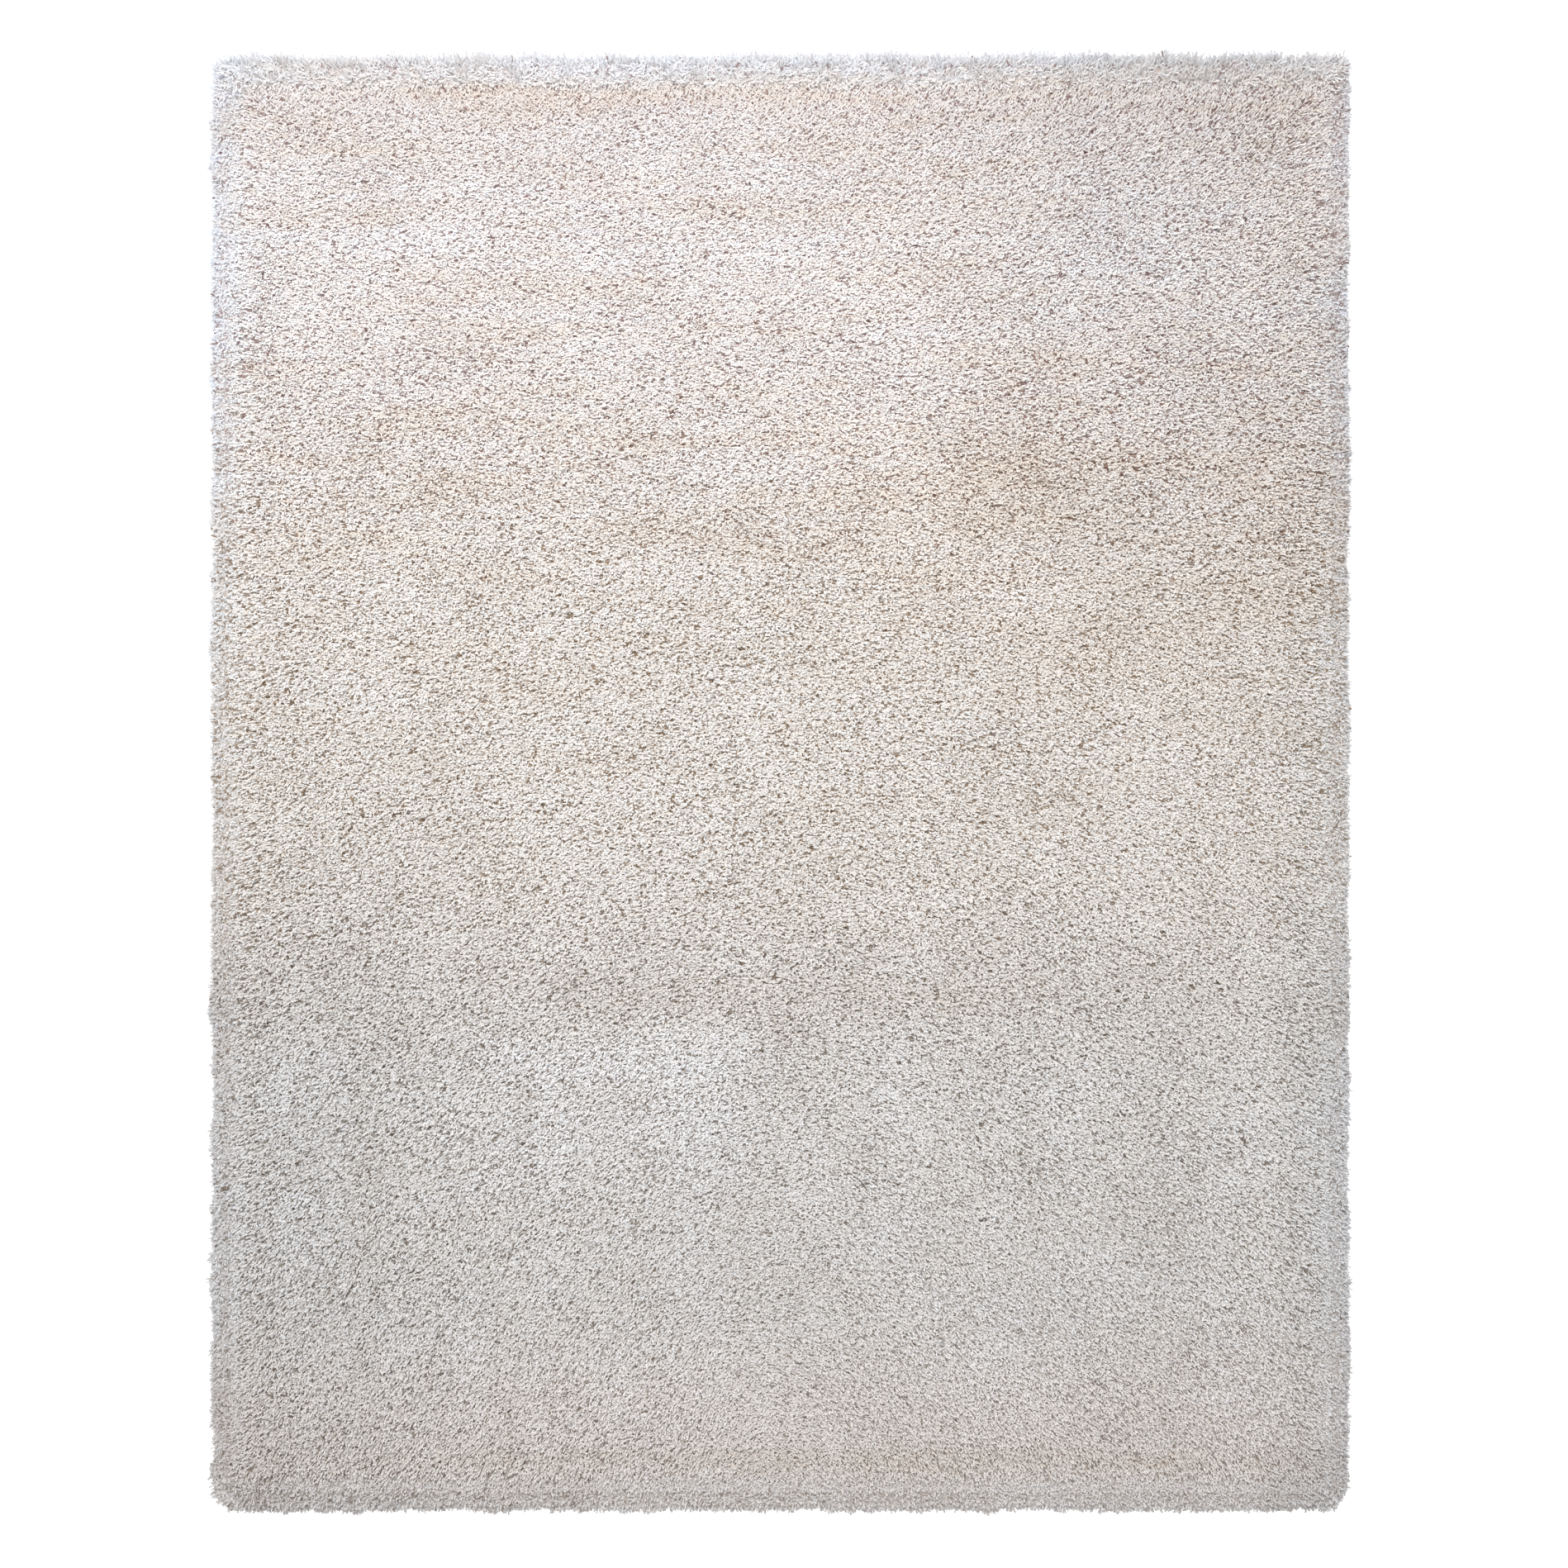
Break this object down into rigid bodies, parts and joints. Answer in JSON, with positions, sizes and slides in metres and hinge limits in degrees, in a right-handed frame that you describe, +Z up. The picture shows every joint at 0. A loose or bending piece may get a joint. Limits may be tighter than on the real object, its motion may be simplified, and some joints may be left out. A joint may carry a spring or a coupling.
{
  "type": "shag rug",
  "caption": "Rectangular deep-pile shag rug lying flat, with a lumpy off-white pile, softly rounded corners and loose locks of yarn splaying over its rim.",
  "frame": {"origin": "on the floor under the middle of the rug's outline", "axes": "+Z up out of the pile, +Y along the rug's length towards its paler end, +X across its width to the right"},
  "size_m": [2.3932, 3.053, 0.0411],
  "materials": {
    "pile": "matte deep pile of soft off-white yarn, warm at one end and cooler grey at the other"
  },
  "bodies": {
    "root": {"shag_rug": "pile"}
  },
  "joints": []
}
